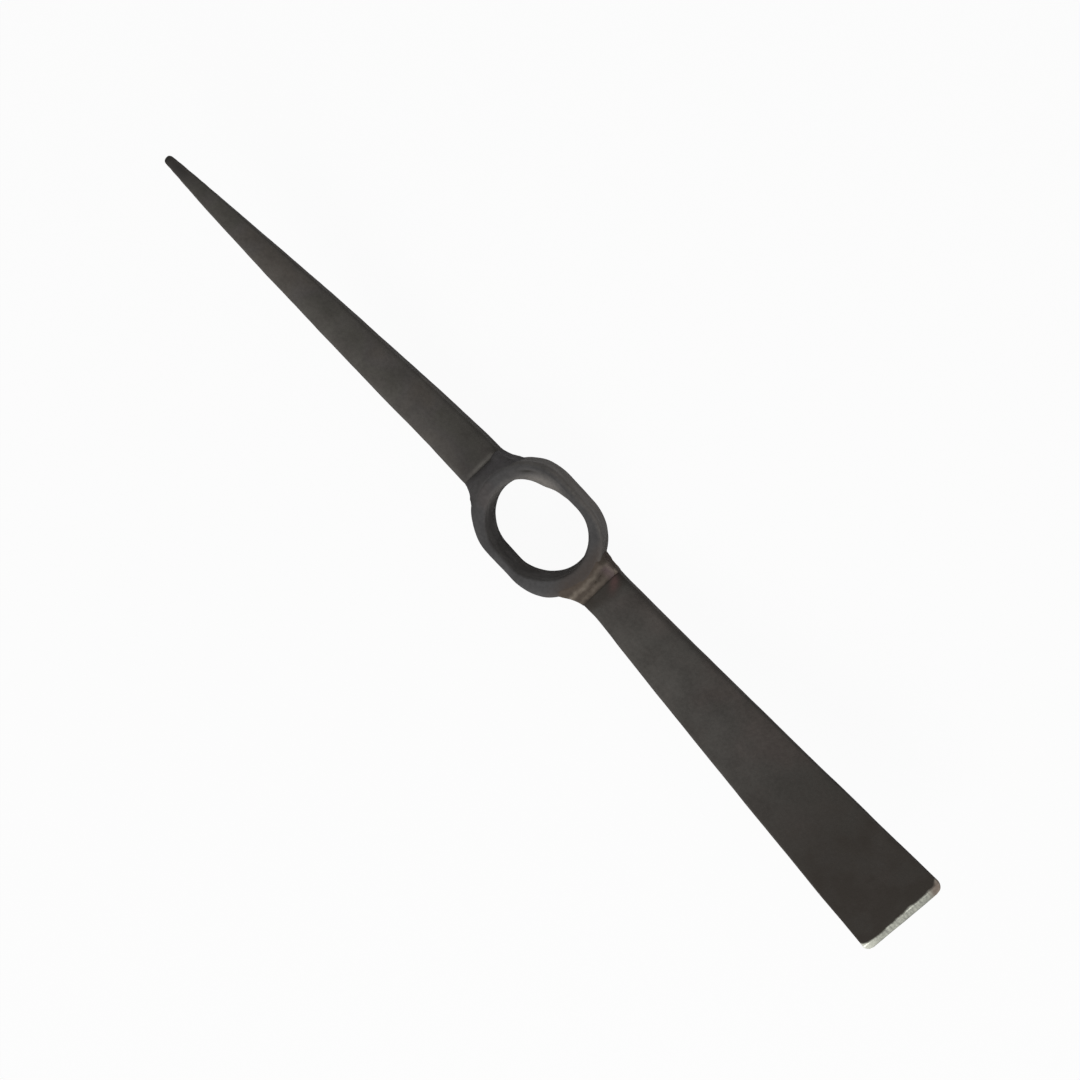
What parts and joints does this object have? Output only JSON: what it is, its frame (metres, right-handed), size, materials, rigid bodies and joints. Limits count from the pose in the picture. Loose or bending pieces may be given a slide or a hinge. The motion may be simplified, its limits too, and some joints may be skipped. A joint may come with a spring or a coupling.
{
  "type": "pick mattock head",
  "caption": "Pick mattock head: an oval eye collar for a handle, with a tapering pick arm and a flaring chisel blade welded to its ends.",
  "frame": {"origin": "middle of the eye, on the collar's lower face", "axes": "+X along the head from the pick to the blade, +Y across the head, +Z along the handle towards the eye's mouth"},
  "size_m": [0.5044, 0.0516, 0.0662],
  "materials": {
    "scaled_steel": "forged steel under dark brown-black forge scale",
    "scaled_weld": "weld metal under dark scale",
    "brushed_weld": "wire-brushed weld metal, tan and slightly rusted"
  },
  "bodies": {
    "root": {"eye_collar": "scaled_steel", "pick_arm": "scaled_steel", "mattock_blade": "scaled_steel", "pick_weld_top": "scaled_weld", "pick_weld_bottom": "scaled_weld", "pick_weld_left": "scaled_weld", "pick_weld_right": "scaled_weld", "blade_weld_top_inner": "brushed_weld", "blade_weld_top_outer": "brushed_weld", "blade_weld_bottom_inner": "brushed_weld", "blade_weld_bottom_outer": "brushed_weld", "blade_weld_left": "scaled_weld", "blade_weld_right": "scaled_weld"}
  },
  "joints": []
}
